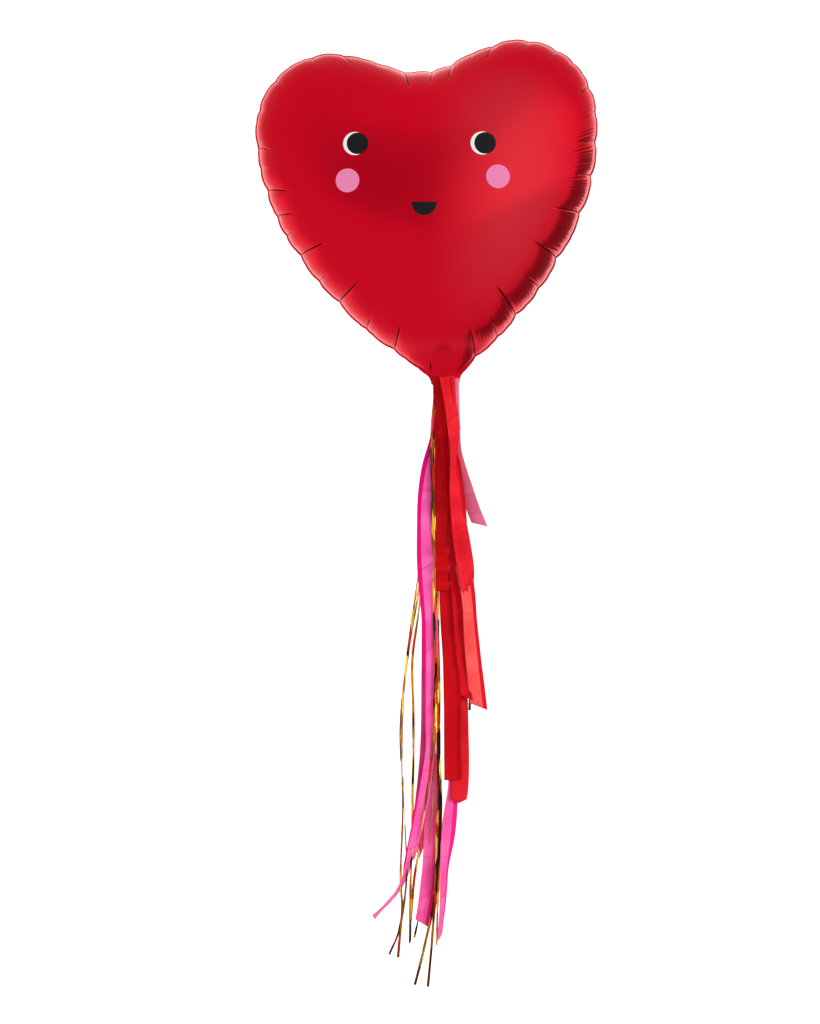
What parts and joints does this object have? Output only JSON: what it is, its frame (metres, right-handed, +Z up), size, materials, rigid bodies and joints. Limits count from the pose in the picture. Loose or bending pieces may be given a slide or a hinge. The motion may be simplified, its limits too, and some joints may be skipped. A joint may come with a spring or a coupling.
{
  "type": "heart foil balloon with streamer tail",
  "caption": "Heart-shaped foil balloon with a plain sticker face, a lay-flat valve neck and a hanging tail of red and pink tissue streamers and narrow gold foil strips",
  "frame": {"origin": "the root of the neck, at the tip of the heart, where the balloon is held or tied", "axes": "+Z up, with the tail hanging along -Z; the decorated face looks along -Y; X runs across the heart, and the balloon leans a little towards -X"},
  "size_m": [0.3809, 0.1933, 1.0491],
  "materials": {
    "envelope_foil": "red metallised film, satin, lightly creased at the seam",
    "valve_film": "clear thin film",
    "sticker_white": "matt vinyl",
    "sticker_black": "matt vinyl",
    "sticker_pink": "matt vinyl",
    "adhesive_foam": "double-sided foam pad",
    "header_paper": "plain white paper",
    "red_tissue": "thin dyed tissue with faint fold lines",
    "pink_tissue": "thin dyed tissue with faint fold lines",
    "gold_foil": "mirror gold foil, crinkled"
  },
  "bodies": {
    "balloon": {"front_foil_panel": "envelope_foil", "back_foil_panel": "envelope_foil", "valve_front_film": "valve_film", "valve_back_film": "valve_film", "left_eye_white": "sticker_white", "left_eye_pupil": "sticker_black", "right_eye_white": "sticker_white", "right_eye_pupil": "sticker_black", "left_cheek": "sticker_pink", "right_cheek": "sticker_pink", "mouth": "sticker_black", "header_adhesive": "adhesive_foam"},
    "header": {"tail_header": "header_paper"},
    "pink_streamer_5": {"pink_streamer_5": "pink_tissue"},
    "gold_strip_3": {"gold_strip_3": "gold_foil"},
    "gold_strip_1": {"gold_strip_1": "gold_foil"},
    "pink_streamer_6": {"pink_streamer_6": "pink_tissue"},
    "pink_streamer_3": {"pink_streamer_3": "pink_tissue"},
    "pink_streamer_4": {"pink_streamer_4": "pink_tissue"},
    "gold_strip_2": {"gold_strip_2": "gold_foil"},
    "gold_strip_4": {"gold_strip_4": "gold_foil"},
    "gold_strip_8": {"gold_strip_8": "gold_foil"},
    "gold_strip_5": {"gold_strip_5": "gold_foil"},
    "gold_strip_6": {"gold_strip_6": "gold_foil"},
    "gold_strip_9": {"gold_strip_9": "gold_foil"},
    "gold_strip_7": {"gold_strip_7": "gold_foil"},
    "pink_streamer_2": {"pink_streamer_2": "pink_tissue"},
    "red_streamer_5": {"red_streamer_5": "red_tissue"},
    "red_streamer_6": {"red_streamer_6": "red_tissue"},
    "red_streamer_4": {"red_streamer_4": "red_tissue"},
    "pink_streamer_1": {"pink_streamer_1": "pink_tissue"},
    "red_streamer_1": {"red_streamer_1": "red_tissue"},
    "red_streamer_3": {"red_streamer_3": "red_tissue"},
    "red_streamer_2": {"red_streamer_2": "red_tissue"}
  },
  "joints": [
    {"name": "tail_header_flap", "type": "hinge", "parent": "balloon", "child": "header", "pos_m": [0, -0.00245, -0.005], "axis": [-1, 0, 0], "range_deg": [0, 35]},
    {"name": "gold_strip_1_sway", "type": "hinge", "parent": "header", "child": "gold_strip_1", "pos_m": [-0.0119, -0.003, -0.013], "axis": [0, 1, 0], "range_deg": [-30, 30]},
    {"name": "gold_strip_2_sway", "type": "hinge", "parent": "header", "child": "gold_strip_2", "pos_m": [-0.0099, -0.003, -0.013], "axis": [0, 1, 0], "range_deg": [-30, 30]},
    {"name": "gold_strip_3_sway", "type": "hinge", "parent": "header", "child": "gold_strip_3", "pos_m": [-0.0099, -0.003, -0.013], "axis": [0, 1, 0], "range_deg": [-30, 30]},
    {"name": "gold_strip_4_sway", "type": "hinge", "parent": "header", "child": "gold_strip_4", "pos_m": [-0.0089, -0.003, -0.013], "axis": [0, 1, 0], "range_deg": [-30, 30]},
    {"name": "gold_strip_5_sway", "type": "hinge", "parent": "header", "child": "gold_strip_5", "pos_m": [-0.0079, -0.003, -0.013], "axis": [0, 1, 0], "range_deg": [-30, 30]},
    {"name": "gold_strip_6_sway", "type": "hinge", "parent": "header", "child": "gold_strip_6", "pos_m": [-0.0029, -0.003, -0.013], "axis": [0, 1, 0], "range_deg": [-30, 30]},
    {"name": "gold_strip_7_sway", "type": "hinge", "parent": "header", "child": "gold_strip_7", "pos_m": [0.0099, -0.003, -0.013], "axis": [0, 1, 0], "range_deg": [-30, 30]},
    {"name": "gold_strip_8_sway", "type": "hinge", "parent": "header", "child": "gold_strip_8", "pos_m": [-0.0049, -0.003, -0.013], "axis": [0, 1, 0], "range_deg": [-30, 30]},
    {"name": "gold_strip_9_sway", "type": "hinge", "parent": "header", "child": "gold_strip_9", "pos_m": [-0.0101, -0.003, -0.013], "axis": [0, 1, 0], "range_deg": [-30, 30]},
    {"name": "pink_streamer_1_sway", "type": "hinge", "parent": "header", "child": "pink_streamer_1", "pos_m": [-0.0105, -0.003, -0.013], "axis": [0, 1, 0], "range_deg": [-30, 30]},
    {"name": "pink_streamer_2_sway", "type": "hinge", "parent": "header", "child": "pink_streamer_2", "pos_m": [0.0105, -0.003, -0.013], "axis": [0, 1, 0], "range_deg": [-30, 30]},
    {"name": "pink_streamer_3_sway", "type": "hinge", "parent": "header", "child": "pink_streamer_3", "pos_m": [-0.0075, -0.003, -0.013], "axis": [0, 1, 0], "range_deg": [-30, 30]},
    {"name": "pink_streamer_4_sway", "type": "hinge", "parent": "header", "child": "pink_streamer_4", "pos_m": [0.00417, -0.003, -0.013], "axis": [0, 1, 0], "range_deg": [-30, 30]},
    {"name": "pink_streamer_5_sway", "type": "hinge", "parent": "header", "child": "pink_streamer_5", "pos_m": [-0.01, -0.003, -0.013], "axis": [0, 1, 0], "range_deg": [-30, 30]},
    {"name": "pink_streamer_6_sway", "type": "hinge", "parent": "header", "child": "pink_streamer_6", "pos_m": [-0.007, -0.003, -0.013], "axis": [0, 1, 0], "range_deg": [-30, 30]},
    {"name": "red_streamer_1_sway", "type": "hinge", "parent": "header", "child": "red_streamer_1", "pos_m": [0, -0.003, -0.013], "axis": [0, 1, 0], "range_deg": [-30, 30]},
    {"name": "red_streamer_2_sway", "type": "hinge", "parent": "header", "child": "red_streamer_2", "pos_m": [-0.002, -0.003, -0.013], "axis": [0, 1, 0], "range_deg": [-30, 30]},
    {"name": "red_streamer_3_sway", "type": "hinge", "parent": "header", "child": "red_streamer_3", "pos_m": [0.009, -0.003, -0.013], "axis": [0, 1, 0], "range_deg": [-30, 30]},
    {"name": "red_streamer_4_sway", "type": "hinge", "parent": "header", "child": "red_streamer_4", "pos_m": [0.01, -0.003, -0.013], "axis": [0, 1, 0], "range_deg": [-30, 30]},
    {"name": "red_streamer_5_sway", "type": "hinge", "parent": "header", "child": "red_streamer_5", "pos_m": [0.008, -0.003, -0.013], "axis": [0, 1, 0], "range_deg": [-30, 30]},
    {"name": "red_streamer_6_sway", "type": "hinge", "parent": "header", "child": "red_streamer_6", "pos_m": [0.009, -0.003, -0.013], "axis": [0, 1, 0], "range_deg": [-30, 30]}
  ]
}
